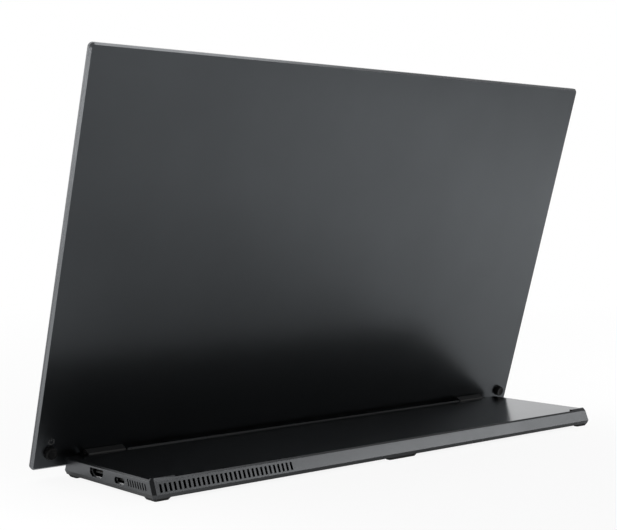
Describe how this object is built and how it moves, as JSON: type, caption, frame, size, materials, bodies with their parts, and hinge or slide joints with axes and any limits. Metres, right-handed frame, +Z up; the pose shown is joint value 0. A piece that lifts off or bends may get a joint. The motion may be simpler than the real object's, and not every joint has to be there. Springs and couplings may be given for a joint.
{
  "type": "portable monitor",
  "caption": "Thin portable monitor: a flat display panel on a friction hinge at the front edge of a low electronics base with end sockets, vents and press buttons.",
  "frame": {"origin": "on the table, under the middle of the part's width and depth with the display open", "axes": "+X along the hinge to the right of a person facing the screen, +Y to the rear of the base, +Z up"},
  "size_m": [0.3588, 0.0876, 0.212],
  "materials": {
    "cover_metal": "dark grey anodised, fine satin bead blast",
    "base_metal": "dark grey anodised, fine satin bead blast",
    "hinge_metal": "satin black",
    "button_plastic": "satin, moulded",
    "glass": "polished",
    "screen": "smooth",
    "frame_plastic": "moulded",
    "foam": "closed-cell foam tape",
    "circuit_board": "solder mask",
    "chip": "moulded",
    "coil": "ferrite",
    "connector": "moulded",
    "heat_sink": "extruded, bare",
    "port_metal": "drawn sheet",
    "port_plastic": "moulded",
    "steel": "turned",
    "rubber": "moulded",
    "switch": "moulded",
    "lens": "translucent"
  },
  "bodies": {
    "base": {"base_housing": "base_metal", "base_bottom_cover": "base_metal", "bottom_screws": "steel", "foot_front_right": "rubber", "foot_front_left": "rubber", "foot_rear_right": "rubber", "foot_rear_left": "rubber", "foot_rear_center": "rubber", "main_board": "circuit_board", "board_screws": "steel", "scaler_chip": "chip", "power_chip": "chip", "memory_chips": "chip", "board_coils": "coil", "heat_sink": "heat_sink", "video_port_shell": "port_metal", "video_port_insert": "port_plastic", "data_port_shell": "port_metal", "data_port_insert": "port_plastic", "hinge_pin_right": "steel", "hinge_pin_left": "steel"},
    "display": {"display_rear_cover": "cover_metal", "cover_glass": "glass", "display_module": "screen", "module_frame": "frame_plastic", "module_tape": "foam", "driver_board": "circuit_board", "driver_connectors": "connector", "leaf_screws": "steel", "status_lens": "lens", "power_switch": "switch", "power_switch_board": "circuit_board", "menu_switch": "switch", "menu_switch_board": "circuit_board", "hinge_arm_right": "hinge_metal", "hinge_arm_left": "hinge_metal", "friction_clip_right": "steel", "friction_clip_left": "steel"},
    "power_button": {"power_button": "button_plastic"},
    "menu_button": {"menu_button": "button_plastic"}
  },
  "joints": [
    {"name": "display_hinge", "type": "hinge", "parent": "base", "child": "display", "pos_m": [0, -0.03683, 0.0084], "axis": [1, 0, 0], "range_deg": [-73.54, 16.46]},
    {"name": "power_button_press", "type": "slide", "parent": "display", "child": "power_button", "axis": [0, -0.959, 0.2833], "range_m": [0, 0.00045], "stiffness_N_per_m": 600, "springref_m": -0.0012},
    {"name": "menu_button_press", "type": "slide", "parent": "display", "child": "menu_button", "axis": [0, -0.959, 0.2833], "range_m": [0, 0.00045], "stiffness_N_per_m": 600, "springref_m": -0.0012}
  ]
}
